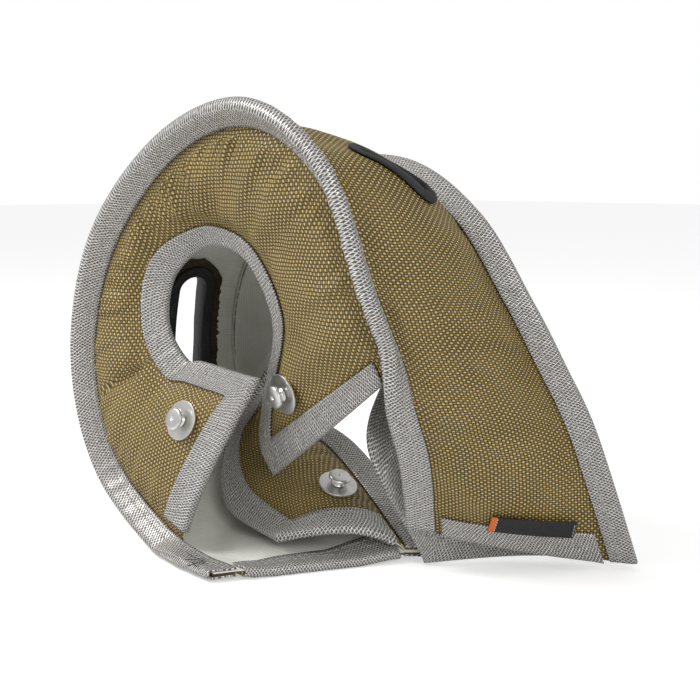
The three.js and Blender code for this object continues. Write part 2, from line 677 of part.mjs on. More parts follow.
// Slots of the band: one near the top right, one in the left wall with a patch behind it
const topSlot = frameOn(grids.band, [4.2, 0.53], [4.03, 0.69]);
const sideSlot = frameOn(grids.band, [7.75, 0.66], [7.2, 0.64]);
const sideCutter = slotCutter(sideSlot, sideSlotLength, sideSlotWidth);
const patch = slotPatch('side_slot_patch', sideSlot, sideSlotLength, sideSlotWidth);
cuts.band.push(slotCutter(topSlot, topSlotLength, topSlotWidth), sideCutter);
for (const [key, tools] of Object.entries(cuts)) {
  for (const layer of layers[key]) cut(layer, tools);
}
for (const set of Object.values(layers)) part.add(...set);
part.add(
  patch, slotEdging('side_slot_edging', sideSlot, sideSlotLength, sideSlotWidth, patchThick + tapeGap),
  slotEdging('top_slot_edging', topSlot, topSlotLength, topSlotWidth, 0),
);

part.add(
  rimTape('front_seam_tape', 'front'), rimTape('rear_seam_tape', 'rear'),
  panelTape('front_panel_edge_tape', grids.front), panelTape('rear_panel_edge_tape', grids.rear),
  endTape('foot_end_tape', grids.band, 0), endTape('floor_end_tape', grids.band, places.length - 1),
);

// Label tab over the foot's end tape
const labelFrame = frameOn(grids.band, [0.33, 0.58], [0.33, 0.8]);
const labelSpots = [-1, -0.5, 0, 0.5, 1].map((k) => [-1, 1].map((side) => locate(
  labelFrame, k * labelLength / 2, side * labelHeight / 2)));
labelSpots.turnRow = 2;
part.add(sheet('label_tab', labelSpots, (spot) => {
  const low = topOf(spot) + tapeRoom + tapeGap;
  return [low, low + labelThick];
}, looks.black));

// Stand the shell on the floor, centred
const box = new THREE.Box3().setFromObject(part);
part.position.set(-(box.min.x + box.max.x) / 2, -(box.min.y + box.max.y) / 2, -box.min.z);

export default part;
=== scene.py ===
# %% [markdown]
# # A sewn turbo heat blanket
# The blanket is a padded shell that wraps the hot housing of a turbocharger. Outside is a gold basalt
# cloth, inside an off white silica liner, with fibre batt between them, and every edge is bound with a
# knitted wire tape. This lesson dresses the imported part: the part's solids say where each piece is, and
# the pieces made here give each one its folds, weave and stitches.

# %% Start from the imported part
import math

import bmesh
import bpy
import numpy as np
from mathutils import Matrix, Vector


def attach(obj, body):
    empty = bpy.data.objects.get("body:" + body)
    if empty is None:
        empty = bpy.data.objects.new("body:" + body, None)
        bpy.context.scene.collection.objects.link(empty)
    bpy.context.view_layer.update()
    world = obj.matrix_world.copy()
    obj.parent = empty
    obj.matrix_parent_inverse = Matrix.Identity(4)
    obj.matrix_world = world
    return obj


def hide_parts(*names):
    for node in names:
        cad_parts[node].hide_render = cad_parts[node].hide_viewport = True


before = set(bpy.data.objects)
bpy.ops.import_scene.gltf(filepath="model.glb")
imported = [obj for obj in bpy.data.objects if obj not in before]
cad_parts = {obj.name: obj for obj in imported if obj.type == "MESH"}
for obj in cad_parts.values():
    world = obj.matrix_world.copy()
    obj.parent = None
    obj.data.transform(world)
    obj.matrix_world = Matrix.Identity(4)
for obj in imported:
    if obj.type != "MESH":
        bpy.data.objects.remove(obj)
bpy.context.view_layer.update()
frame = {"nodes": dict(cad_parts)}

# %% [markdown]
# ## Sizes
# The sizes are those of the part, in millimetres, and a mesh is turned into metres only when it is made.
# STANDING is how far the part was moved to stand centred on the floor after it had been drawn.

# %% Sizes in millimetres
MM = 0.001
STANDING = np.array([-0.985, -72.613, 0.026])
CLOTH_THICK = 0.8
BATT_THICK = 5.5
LINER_THICK = 0.6
GAP = 0.3
TAPE_THICK = 0.9
TAPE_WIDTH = 11.0
TAPE_GAP = 0.5
TAPE_ROOM = TAPE_GAP + TAPE_THICK
FIN_HALF = 2 * GAP + LINER_THICK + CLOTH_THICK
PUCKER_HEIGHT = 1.3
SLIT_RIGHT = 2.05
SLIT_LEFT = 10.0

# %% [markdown]
# ## The three panels
# The blanket is three panels: a band and two faces. Each could be sculpted by hand, but then nothing would
# follow the part when a size changes. So the panels are drawn from the same stations as the part: twelve
# places round the band, each with a point on the front seam, on the rear seam and on the rear hole's edge.

# %% Holes and stations
def ring(centre, width, height):
    """Points on the rim of a round hole, by angle in degrees and how far they lean back."""
    def place(degrees, back=0.0):
        a = math.radians(degrees)
        return (centre[0] + width / 2 * math.cos(a), centre[1] + back, centre[2] + height / 2 * math.sin(a))
    return place


front_hole = ring((-29, 26, 113), 66, 62)
rear_hole = ring((-14, 92, 112), 70, 60)
STATIONS = [  # front seam, rear seam, rear hole's edge, swell of the band, swell of the rear panel
    ((56, 78, 20), (104, 138, 5), (45, 84, 3), 2, 7),
    ((66, 62, 58), (97, 116, 62), (38, 56, 58), 3, 7),
    ((70, 40, 96), (88, 104, 93), (24, 84, 90), 4, 8),
    ((69, 25, 126), (77, 95, 120), rear_hole(8), 5, 6),
    ((57, 13, 172), (54, 88, 154), rear_hole(50), 5, 5),
    ((18, 8, 194), (14, 86, 173), rear_hole(85), 2, 4),
    ((-36, 8, 181), (-42, 86, 165), rear_hole(125), 2, 4),
    ((-85, 8, 139), (-86, 86, 130), rear_hole(165), 4, 5),
    ((-103, 8, 86), (-98, 86, 84), rear_hole(212, -8), 6, 7),
    ((-87, 9, 38), (-84, 90, 52), (-61, 57, 51), 8, 8),
    ((-36, 10, 8), (-30, 94, 37), (-44, 41, 20), 20, 13),
    ((4, 9, 4), (35, 80, 5), (-1, 37, 12), 3, 9),
]
LAST = len(STATIONS) - 1
FRONT_EDGE = [  # place round the band, point on the front panel's inner edge, swell
    (SLIT_RIGHT, (-14, 46, 39), 3), (2.35, (-19, 43, 52), 4), (2.7, (-11, 39, 76), 5),
    (3.2, front_hole(-8, 7), 6), (4, front_hole(45, 2), 6), (5, front_hole(80), 6),
    (6, front_hole(115), 5), (7, front_hole(152, -5), 5), (8, front_hole(195, -7), 6),
    (8.8, front_hole(232, -5), 8), (9.3, (-36, 23, 88), 8), (SLIT_LEFT, (3, 21, 86), 5),
]
FRONT_SEAM, REAR_SEAM, REAR_EDGE, BAND_SWELL, REAR_SWELL = (
    np.array([station[k] for station in STATIONS], float) for k in range(5))
print(len(STATIONS), "stations round the band")

# %% Curves through the stations
def unit(v):
    return v / np.maximum(np.linalg.norm(v, axis=-1, keepdims=True), 1e-9)


def smooth(low, high, x):
    t = np.clip((x - low) / (high - low), 0, 1)
    return t * t * (3 - 2 * t)


def along(points, place):
    """Smooth run through a list of points; place counts the points from 0."""
    place = np.asarray(place, float)
    k = np.clip(np.floor(place).astype(int), 0, len(points) - 2)
    u = place - k
    a, b, c, d = (points[np.clip(k + n, 0, len(points) - 1)] for n in (-1, 0, 1, 2))
    if points.ndim == 2:
        u = u[..., None]
    slope_in, slope_out = (c - a) / 2, (d - b) / 2
    bend = 3 * (c - b) - 2 * slope_in - slope_out
    return b + slope_in * u + bend * u**2 + (2 * (b - c) + slope_in + slope_out) * u**3


def front_column(k):
    """One column of the front panel's table as a curve."""
    places, values = [row[0] for row in FRONT_EDGE], np.array([row[k] for row in FRONT_EDGE], float)
    return lambda s: along(values, np.interp(s, places, range(len(places))))


front_edge, front_swell = front_column(1), front_column(2)
PANELS = {
    "band": dict(near=lambda s: along(FRONT_SEAM, s), far=lambda s: along(REAR_SEAM, s),
                 swell=lambda s: along(BAND_SWELL, s), flip=1, full=0.0, ends=(0, LAST)),
    "front": dict(near=lambda s: along(FRONT_SEAM, s), far=front_edge,
                  swell=front_swell, flip=-1, full=0.8, ends=(SLIT_RIGHT, SLIT_LEFT)),
    "rear": dict(near=lambda s: along(REAR_SEAM, s), far=lambda s: along(REAR_EDGE, s),
                 swell=lambda s: along(REAR_SWELL, s), flip=1, full=0.55, ends=(0, LAST)),
}

# %% Middle surface of a panel and its normal
def travel(curve, s, step=0.05):
    return unit(curve(np.clip(s + step, 0, LAST)) - curve(np.clip(s - step, 0, LAST)))


def mixed(panel, s, v):
    p = PANELS[panel]
    return p["near"](s) * (1 - v)[..., None] + p["far"](s) * v[..., None]


def flat_normal(panel, s):
    p = PANELS[panel]
    across = unit(p["far"](s) - p["near"](s))
    here = travel(lambda q: mixed(panel, q, np.full_like(q, 0.4)), s)
    return unit(np.cross(across, here)) * p["flip"]


def middle(panel, s, v):
    p = PANELS[panel]
    shape = np.sin(math.pi * np.clip(v, 0, 1) ** (1 - 0.45 * p["full"]))
    return mixed(panel, s, v) + flat_normal(panel, s) * (p["swell"](s) * shape)[..., None]


def surface_normal(panel, s, v):
    e = 0.03
    across = unit(middle(panel, s, np.clip(v + e, 0, 1)) - middle(panel, s, np.clip(v - e, 0, 1)))
    here = travel(lambda q: middle(panel, q, v), s)
    return unit(np.cross(across, here)) * PANELS[panel]["flip"]


# %% [markdown]
# ## Lengths on the cloth
# Weave, gathers and stitches are spaced in millimetres, so each place needs a length along its seam and a
# distance from it. A table of lengths is summed once and read by interpolation.

# %% Tables of length
PLACES = np.linspace(0, LAST, 1200)


def length_table(curve):
    steps = np.linalg.norm(np.diff(curve(PLACES), axis=0), axis=1)
    return np.concatenate([[0], np.cumsum(steps)])


LENGTHS = {
    "front": length_table(PANELS["band"]["near"]),
    "rear": length_table(PANELS["band"]["far"]),
    "middle": length_table(lambda s: mixed("band", s, np.full_like(s, 0.5))),
}
print("seam lengths in mm", {key: round(float(table[-1])) for key, table in LENGTHS.items()})


def run(table, s):
    return np.interp(s, PLACES, LENGTHS[table])


def place_at(table, length):
    return np.interp(length, LENGTHS[table], PLACES)


def hem_from(s, way, curve):
    """The place one tape width away from a free end."""
    q = s
    while np.linalg.norm(curve(np.array(q)) - curve(np.array(s))) < TAPE_WIDTH:
        q += 0.01 * way
    return q


def mid_face(s):
    return mixed("front", s, np.full_like(s, 0.6))


def mid_band(s):
    return mixed("band", s, np.full_like(s, 0.5))


HEMS = {
    "front": (hem_from(SLIT_RIGHT, 1, mid_face), hem_from(SLIT_LEFT, -1, mid_face)),
    "band": (hem_from(0.0, 1, mid_band), hem_from(float(LAST), -1, mid_band)),
}
HEMS["rear"] = HEMS["band"]
print("hems end at", {key: [round(q, 2) for q in ends] for key, ends in HEMS.items()})

# %% [markdown]
# ## Folds
# Sewn thick cloth is never flat. The long soft folds are those of the part. On them lie the gathers that
# the seam pulls into the cloth, deepest at the tape and gone a finger's width away, and on the front panel
# one sharp crease from the rim to the hole, where the left lobe was bent. All are sums of waves with fixed
# phases, so each run gives the same cloth.

# %% Gathers and creases
def pucker(s, v):
    waves = (0.55 * np.sin(9.3 * s + 1.1) + 0.45 * np.sin(5.1 * s - 5 * v + 0.4)
             + 0.35 * np.sin(13.7 * s + 3 * v))
    return PUCKER_HEIGHT * np.sin(math.pi * np.clip(v, 0, 1)) * waves


def gathers(seed, length, away, depth, reach):
    """Small folds square to a seam, as deep as given at the seam and fading over the reach."""
    dice = np.random.default_rng(seed)
    total = np.zeros_like(length)
    for wave in (7.5, 10.0, 13.0, 17.0, 24.0):
        phase, lean, strength = dice.uniform(0, 2 * math.pi), dice.uniform(-0.25, 0.25), dice.uniform(0.5, 1)
        total += strength * np.sin(2 * math.pi * (length + lean * away) / wave + phase)
    fade = smooth(0, 5, away) * np.exp(-np.maximum(away - 5, 0) / reach)
    return depth * total / 2 * fade


CREASE_PLACE = 8.42


def crease(s, away):
    """Valley from the rim to the hole, with a ridge beside it."""
    here = run("front", s) - run("front", CREASE_PLACE) - 0.08 * away
    return 1.1 * np.exp(-((here - 6) / 4.5) ** 2) - 2.3 * np.exp(-(here / 2.6) ** 2)


def folds(panel, s, v, away, left):
    """Height of the folds over the padding, by distance from the seam and from the other edge."""
    if panel == "band":
        return (pucker(s, v) + gathers(11, run("front", s), away, 0.55, 9)
                + gathers(12, run("rear", s), left, 0.55, 9))
    if panel == "front":
        upper = smooth(3.2, 4.6, s) * (1 - smooth(7.6, 8.2, s))
        deep = 0.8 + 0.9 * upper + 0.5 * smooth(8.6, 9.3, s)
        return (pucker(s, v) + gathers(21, run("front", s), away, 1.0, 13) * deep
                + gathers(22, run("front", s) * 0.5, left - TAPE_WIDTH, 0.5, 10) + crease(s, away))
    return (pucker(s, v) + gathers(31, run("rear", s), away, 1.0, 14)
            + gathers(32, run("rear", s) * 0.6, left - TAPE_WIDTH, 0.5, 9))


# %% Seam allowance: the fin that stands out along each seam
def pulls(side, s):
    if side == "rear":
        return np.ones_like(s)
    return smooth(SLIT_RIGHT - 0.8, SLIT_RIGHT + 0.2, s) * (1 - smooth(SLIT_LEFT - 0.3, SLIT_LEFT + 0.3, s))


def fills(side, s):
    if side == "rear":
        return np.ones_like(s)
    return smooth(SLIT_RIGHT - 0.6, SLIT_RIGHT - 0.05, s) * (1 - smooth(SLIT_LEFT + 0.05, SLIT_LEFT + 0.5, s))


def fin(side, s):
    """Foot, tip and cross direction of the fin at places round a seam."""
    seam = PANELS["band"]["near" if side == "front" else "far"]
    other = PANELS["band"]["far" if side == "front" else "near"]
    face = PANELS["front"]["far"] if side == "front" else PANELS["rear"]["far"]
    foot = seam(s)
    to_face = unit(face(np.clip(s, SLIT_RIGHT, SLIT_LEFT) if side == "front" else s) - foot)
    out = -unit(unit(other(s) - foot) + to_face * pulls(side, s)[..., None])
    across = unit(np.cross(out, travel(seam, s)))
    turned = np.sum(across * flat_normal("band", s), axis=-1) < 0
    across = np.where(turned[..., None], -across, across)
    clear = (FIN_HALF + TAPE_ROOM) * np.abs(across[..., 2])
    nose = (TAPE_ROOM + TAPE_GAP) * np.maximum(-out[..., 2], 0)
    tip = foot + out * TAPE_WIDTH
    tip[..., 2] = np.maximum(tip[..., 2], clear + nose)
    foot = foot.copy()
    foot[..., 2] = np.maximum(foot[..., 2], clear)
    return foot, tip, across


# %% A place on a panel: point, normal and the heights of its layers
def fullness(panel, s):
    """How full the padding is, from none at a free end to all a little past the tape."""
    (start, end), (first, last) = PANELS[panel]["ends"], HEMS[panel]
    return smooth(0, 2.3, (s - start) / (first - start)) * smooth(0, 2.3, (end - s) / (end - last))


def spot(panel, s, v, plain=False):
    """Arrays p, n, top and under: middle point, normal, height of the cloth's face and depth of the liner's."""
    s, v = (np.array(x, float) for x in np.broadcast_arrays(s, v))
    p = PANELS[panel]
    width = np.linalg.norm(p["far"](s) - p["near"](s), axis=-1)
    hem = TAPE_WIDTH / width
    point, normal = middle(panel, s, v), surface_normal(panel, s, v)
    both = panel == "band"
    near = smooth(0, 2.2 * hem, v)
    pinch = smooth(-0.1 * hem, 0.9 * hem, v)
    if both:
        near = np.minimum(near, smooth(0, 2.2 * hem, 1 - v))
        pinch = pinch * smooth(-0.1 * hem, 0.9 * hem, 1 - v)
    else:
        pinch = pinch * (1 - smooth(1 - 2.1 * hem, 1 - hem, v))
    full = fullness(panel, s)
    half = BATT_THICK / 2 * (0.35 + 0.65 * near) * full * pinch
    sides = [("rear" if panel == "rear" else "front", v, 0.0)] + ([("rear", 1 - v, 1.0)] if both else [])
    for side, far, end in sides:
        share = (1 - smooth(0, 0.9 * hem, far))[..., None]
        foot, _, across = fin(side, s)
        turn = 1 if both else -1
        offset = across * (turn * fills(side, s) * (LINER_THICK + GAP))[..., None]
        seam = middle(panel, s, np.full_like(v, end))
        point = point + share * (foot + offset - seam)
        normal = unit(normal * (1 - share) + turn * across * share)
    over = GAP / 2 * (1 + pinch)
    lift = 0 if plain else folds(panel, s, v, v * width, (1 - v) * width) * smooth(0.15, 0.9, full * pinch)
    lift = np.maximum(lift, np.minimum(0.45 - half - over, 0))
    floor_share = np.maximum(-normal[..., 2], 0)
    bound = 1 - smooth(0.0, 0.35, full)
    if not both:
        bound = np.maximum(bound, smooth(1 - 1.4 * hem, 1 - hem, v))
    need = (half + over + CLOTH_THICK) * floor_share + TAPE_ROOM * bound * (floor_share > 0.5)
    point[..., 2] = np.maximum(point[..., 2], need)
    room = np.where(floor_share > 0.05,
                    point[..., 2] / np.maximum(floor_share, 0.05) - half - over - CLOTH_THICK, 99.0)
    lift = np.clip(lift, -np.maximum(room, 0), np.maximum(room, 0))
    return dict(p=point, n=normal, s=s, v=v, half=half, width=width,
                top=half + over + CLOTH_THICK + lift, under=half + over + LINER_THICK)


def on(spots, height):
    return spots["p"] + spots["n"] * np.asarray(height)[..., None]


print("a spot on the band", np.round(spot("band", 4.0, 0.5)["p"], 1))

# %% [markdown]
# ## From a grid to a piece
# Each cloth, tape and pad is a created grid, extruded to its thickness, whose corners are then laid on the
# surfaces above. The grid is closed by the extrusion, so every piece is a solid sheet. A second place is
# kept with every corner: its lengths along and across the cloth, which the weave and the mesh follow.

# %% Laying a grid
PIECES = []


def finish_piece(name, bm, look, replaced=(), smooth_faces=True):
    mesh = bpy.data.meshes.new(name)
    bmesh.ops.recalc_face_normals(bm, faces=bm.faces)
    for face in bm.faces:
        face.smooth = smooth_faces
    bm.to_mesh(mesh)
    bm.free()
    mesh.materials.append(look)
    piece = bpy.data.objects.new(name, mesh)
    bpy.context.scene.collection.objects.link(piece)
    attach(piece, "root")
    if replaced:
        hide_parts(*replaced)
    PIECES.append(piece)
    print(name, len(mesh.polygons), "faces")
    return piece


def new_grid(m, n):
    """A created grid of m by n corners, its layer of places on the cloth, and a reader of a corner's number."""
    bm = bmesh.new()
    layer = bm.verts.layers.float_vector.new("on_cloth")
    bmesh.ops.create_grid(bm, x_segments=m - 1, y_segments=n - 1, size=1)
    return bm, layer, lambda vert: (round((vert.co.x + 1) / 2 * (m - 1)), round((vert.co.y + 1) / 2 * (n - 1)))


def lay(name, outer, inner, lengths, look, replaced=(), holes=None):
    """outer and inner are points and lengths their places on the cloth; holes marks corners to leave out."""
    bm, layer, cell = new_grid(*outer.shape[:2])
    if holes is not None:
        gone = [vert for vert in bm.verts if holes[cell(vert)]]
        bmesh.ops.delete(bm, geom=gone, context="VERTS")
    grown = bmesh.ops.extrude_face_region(bm, geom=bm.faces[:])["geom"]
    upper = {item for item in grown if isinstance(item, bmesh.types.BMVert)}
    for vert in bm.verts:
        place = cell(vert)
        point = outer[place] if vert in upper else inner[place]
        vert[layer] = (*lengths[place], 0.0)
        vert.co = (point + STANDING) * MM
    return finish_piece(name, bm, look, replaced)


# %% [markdown]
# ## Writing a finish
# A finish is a small tree of nodes. Wiring it by hand is long, so one class stands for a socket: sums and
# products of it add Math nodes, and one function adds any other node with its settings and inputs.

# %% Sockets that can be calculated with
def add_node(tree, kind, inputs, output=0, **settings):
    node = tree.nodes.new(kind)
    for key, value in settings.items():
        setattr(node, key, value)
    for key, value in inputs.items():
        if isinstance(value, Reading):
            tree.links.new(value.socket, node.inputs[key])
        else:
            node.inputs[key].default_value = value
    return Reading(tree, node.outputs[output])


class Reading:
    """The output of a node, with the arithmetic that adds Math nodes."""
    def __init__(self, tree, socket):
        self.tree, self.socket = tree, socket

    def maths(self, operation, *values):
        return add_node(self.tree, "ShaderNodeMath", dict(enumerate(values)), operation=operation)

    def __add__(self, other):
        return self.maths("ADD", self, other)

    def __sub__(self, other):
        return self.maths("SUBTRACT", self, other)

    def __rsub__(self, other):
        return self.maths("SUBTRACT", other, self)

    def __mul__(self, other):
        return self.maths("MULTIPLY", self, other)

    def __truediv__(self, other):
        return self.maths("DIVIDE", self, other)

    __radd__, __rmul__ = __add__, __mul__

    def sine(self):
        return self.maths("SINE", self)

    def size(self):
        return self.maths("ABSOLUTE", self)

    def larger(self, other):
        return self.maths("MAXIMUM", self, other)

    def step(self, low, high):
        return add_node(self.tree, "ShaderNodeMapRange", {"Value": self, "From Min": low, "From Max": high},
                        interpolation_type="SMOOTHSTEP")


class Finish:
    """A material with one shader; colour and height are given when it is closed."""
    def __init__(self, name):
        self.material = bpy.data.materials.new(name)
        self.material.use_nodes = True
        self.tree = self.material.node_tree
        self.shader = self.tree.nodes["Principled BSDF"]

    def add(self, kind, inputs, output=0, **settings):
        return add_node(self.tree, kind, inputs, output, **settings)

    def lengths(self):
        """Lengths along and across the cloth, in millimetres."""
        place = self.add("ShaderNodeAttribute", {}, "Vector", attribute_name="on_cloth")
        return tuple(self.add("ShaderNodeSeparateXYZ", {0: place}, k) for k in (0, 1))

    def point(self, x, y, z=0.0):
        return self.add("ShaderNodeCombineXYZ", {0: x, 1: y, 2: z})

    def noise(self, place, scale, detail=2.0):
        return self.add("ShaderNodeTexNoise", {"Vector": place, "Scale": scale, "Detail": detail})

    def mix(self, share, first, second):
        return self.add("ShaderNodeMix", {0: share, 6: first, 7: second}, 2, data_type="RGBA")

    def close(self, colour, height, depth, roughness, metallic=0.0, strength=1.0):
        bump = self.add("ShaderNodeBump", {"Height": height, "Distance": depth * MM, "Strength": strength})
        inputs = {"Base Color": colour, "Roughness": roughness, "Metallic": metallic, "Normal": bump}
        for key, value in inputs.items():
            if isinstance(value, Reading):
                self.tree.links.new(value.socket, self.shader.inputs[key])
            else:
                self.shader.inputs[key].default_value = value
        return self.material


def paint(red, green, blue):
    return (red, green, blue, 1.0)


# %% [markdown]
# ## Basalt cloth
# Basalt yarn is glassy and gold, woven plain: each yarn shows as a short float where it passes over and dives where
# it passes under. A plain weave is the product of two sine waves, positive where the warp is on top and negative
# where the weft is, so one product gives the colour, the gloss and the relief together. Light is painted into that
# colour. The warp floats are painted up to a bright gold as a painted highlight, where glassy yarn catches the
# light. The yarns are painted near black where they dive, as painted shade between the floats.

# %% Finish of the outer cloth
WARP_STEP = 1.05
WEFT_STEP = 1.5


def basalt_cloth():
    cloth = Finish("basalt_cloth")
    x, y = cloth.lengths()
    flat = cloth.point(x, y)
    wander = cloth.noise(flat, 0.09, 1.0) - 0.5
    drift = cloth.noise(flat, 0.045, 2.0)
    over = ((x + wander * 1.6) * (math.pi / WARP_STEP)).sine() * ((y + wander * 1.2) * (math.pi / WEFT_STEP)).sine()
    warp = over.step(0.03, 0.75)
    weft = (over * -1).step(0.03, 0.8)
    fibre_tone_and_glint = cloth.noise(cloth.point(x * 5.0, y * 0.9), 1.0, 3.0)
    # painted highlight: the warp floats are painted from mid gold up to a bright gold, where glassy yarn catches
    # the light
    gold = cloth.mix(fibre_tone_and_glint.step(0.3, 0.7), paint(0.44, 0.30, 0.085), paint(0.86, 0.66, 0.27))
    olive = cloth.mix(drift.step(0.35, 0.65), paint(0.18, 0.128, 0.032), paint(0.29, 0.21, 0.066))
    # painted shade: between the floats, where the yarns dive, the colour falls to near black
    weft_and_gap_shade = cloth.mix(weft, paint(0.05, 0.034, 0.01), olive)
    colour = cloth.mix(warp, weft_and_gap_shade, gold)
    roughness = 0.58 - warp * 0.2
    cloth.shader.inputs["Specular IOR Level"].default_value = 0.45
    return cloth.close(colour, warp + weft * 0.75, 0.32, roughness, strength=0.8)


# %% [markdown]
# ## Knitted wire tape
# The tape is a flat stocking of fine steel wire. Its loops cross in two slanting families with dark pores
# between them. Two slanting sine waves give the families, and where both are far from zero there is a pore.

# %% Finish of the tape
def wire_tape():
    tape = Finish("knitted_wire_tape")
    x, y = tape.lengths()
    wander = tape.noise(tape.point(x, y), 0.35, 2.0) - 0.5
    bent_x = x + wander * 0.9
    bent_y = y + wander * 0.7
    left = ((bent_x / 1.5 + bent_y / 2.3) * math.pi).sine().size()
    right = ((bent_x / 1.5 - bent_y / 1.7) * math.pi).sine().size()
    strand = (1 - left.step(0.3, 0.72)).larger(1 - right.step(0.22, 0.6))
    tint = tape.noise(tape.point(x, y), 0.5, 1.0)
    bright = tape.noise(tape.point(x, y), 1.6, 2.0)
    steel = tape.mix(bright.step(0.3, 0.7), paint(0.50, 0.48, 0.455), paint(0.95, 0.93, 0.90))
    warm = tape.mix(tint.step(0.6, 0.72) * 0.45, steel, paint(0.5, 0.3, 0.27))
    colour = tape.mix(strand, paint(0.10, 0.095, 0.088), warm)
    return tape.close(colour, strand, 0.35, 0.42, strand * 0.45, strength=0.9)


# %% [markdown]
# ## Liner, batt and bindings
# The liner is a fine ribbed white cloth, the batt a felt, the slots are bound in black, and a coarse cloth backs
# the side slot; its dark brown is painted shade, the colour that basalt cloth takes in deep shadow. They are seen
# less, so each is a colour with one fine relief of its own.

# %% Finishes of the other cloths
def ribbed(name, light, dark, rib, depth, roughness):
    cloth = Finish(name)
    x, y = cloth.lengths()
    ribs = (x * (2 * math.pi / rib)).sine() * 0.5 + 0.5
    cross = (y * (2 * math.pi / (rib * 0.8))).sine() * 0.5 + 0.5
    cloud = cloth.noise(cloth.point(x, y), 0.08, 3.0)
    colour = cloth.mix((ribs * 0.35 + cloud * 0.8).step(0.2, 0.95), dark, light)
    return cloth.close(colour, ribs + cross * 0.5 + cloud * 0.6, depth, roughness, strength=0.7)


def felt(name, light, dark):
    batt = Finish(name)
    place = batt.add("ShaderNodeTexCoord", {}, "Object")
    fluff = batt.noise(place, 900.0, 4.0)
    return batt.close(batt.mix(fluff, dark, light), fluff, 0.5, 0.95)


def label_cloth():
    tab = Finish("label_cloth")
    x, y = tab.lengths()
    twill = ((x + y) * (2 * math.pi / 0.9)).sine() * 0.5 + 0.5
    black = tab.mix(twill, paint(0.006, 0.006, 0.007), paint(0.022, 0.022, 0.024))
    end = 1 - x.step(-16.6, -16.3)
    colour = tab.mix(end, black, paint(0.72, 0.16, 0.02))
    return tab.close(colour, twill, 0.15, 0.6)


def bright_steel():
    steel = Finish("bright_steel")
    place = steel.add("ShaderNodeTexCoord", {}, "Object")
    grain = steel.noise(place, 1400.0, 3.0)
    marks = steel.noise(place, 160.0, 2.0)
    colour = steel.mix(marks.step(0.3, 0.75), paint(0.66, 0.65, 0.63), paint(0.82, 0.81, 0.79))
    return steel.close(colour, grain, 0.02, 0.24 + grain * 0.16, 1.0, strength=0.4)


def thread(name, colour):
    twist = Finish(name)
    place = twist.add("ShaderNodeTexCoord", {}, "Object")
    turns = twist.noise(place, 2500.0, 1.0)
    return twist.close(twist.mix(turns, paint(*(c * 0.6 for c in colour)), paint(*colour)), turns, 0.1, 0.6)


BASALT = basalt_cloth()
TAPE = wire_tape()
LINER = ribbed("silica_liner", paint(0.86, 0.86, 0.81), paint(0.70, 0.69, 0.62), 1.3, 0.22, 0.8)
BATT = felt("fibre_batt", paint(0.75, 0.73, 0.65), paint(0.5, 0.48, 0.4))
BINDING = ribbed("black_binding", paint(0.03, 0.03, 0.032), paint(0.008, 0.008, 0.008), 0.9, 0.2, 0.65)
# painted shade: the backing cloth is painted dark brown, as cloth looks in deep shadow
SHADE_BROWN_BACKING = ribbed("slot_backing_painted_shade", paint(0.10, 0.068, 0.036), paint(0.018, 0.012, 0.007), 1.1, 0.5, 0.9)
LABEL = label_cloth()
STEEL = bright_steel()
THREAD = thread("grey_thread", (0.52, 0.51, 0.48))
WHITE_THREAD = thread("white_thread", (0.85, 0.85, 0.83))
DARK_THREAD = thread("dark_thread", (0.03, 0.03, 0.03))
print(len(bpy.data.materials), "finishes")

# %% [markdown]
# ## Frames on the cloth
# Slots, studs and the label sit on the curved cloth. Each has a flat frame there, and a place in the frame
# is found on the panel by a few steps of Newton's method, as one feels for a spot on a cushion.

# %% Flat frames and the places in them
def frame_on(panel, place, towards):
    here, there = spot(panel, *place, plain=True), spot(panel, *towards, plain=True)
    z = here["n"]
    x = there["p"] - here["p"]
    x = unit(x - z * np.dot(x, z))
    return dict(panel=panel, place=place, x=x, y=np.cross(z, x), z=z, centre=here["p"])


def locate(frame, x, y, height="top"):
    """The spots of a panel whose cloth face, or liner face, lies at x, y in the frame."""
    s, v = (np.full(np.shape(x), c, float) for c in frame["place"])
    step = 0.01

    def read(a, b):
        spots = spot(frame["panel"], a, b, plain=True)
        d = on(spots, spots["top"] if height == "top" else -spots["under"]) - frame["centre"]
        return d @ frame["x"], d @ frame["y"]

    for _ in range(7):
        (hx, hy), (sx, sy), (vx, vy) = read(s, v), read(s + step, v), read(s, v + step)
        a, b, c, d = sx - hx, vx - hx, sy - hy, vy - hy
        scale = step / (a * d - b * c)
        s = s + (d * (x - hx) - b * (y - hy)) * scale
        v = v + (a * (y - hy) - c * (x - hx)) * scale
    return spot(frame["panel"], s, v)


def slot_outline(length, width, reach, count=88):
    """Points round a slot with round ends, grown by a reach."""
    straight, r = length - width, width / 2 + reach
    t = np.linspace(0, 1, count, endpoint=False) * (2 * straight + 2 * math.pi * width / 2)
    arc = math.pi * width / 2
    x, y = np.zeros(count), np.zeros(count)
    for k, q in enumerate(t):
        if q < arc:
            a = q / arc * math.pi - math.pi / 2
            x[k], y[k] = straight / 2 + r * math.cos(a), r * math.sin(a)
        elif q < arc + straight:
            x[k], y[k] = straight / 2 - (q - arc), r
        elif q < 2 * arc + straight:
            a = (q - arc - straight) / arc * math.pi + math.pi / 2
            x[k], y[k] = -straight / 2 + r * math.cos(a), r * math.sin(a)
        else:
            x[k], y[k] = -straight / 2 + (q - 2 * arc - straight), -r
    return x, y


def in_slot(slot, points, reach=0.5):
    """Which points lie in a slot, seen along its frame's z."""
    d = points - slot["centre"]
    x, y, z = d @ slot["x"], d @ slot["y"], d @ slot["z"]
    straight = (slot["length"] - slot["width"]) / 2
    far = np.hypot(np.maximum(np.abs(x) - straight, 0), y)
    return (far < slot["width"] / 2 + reach) & (np.abs(z) < 25)


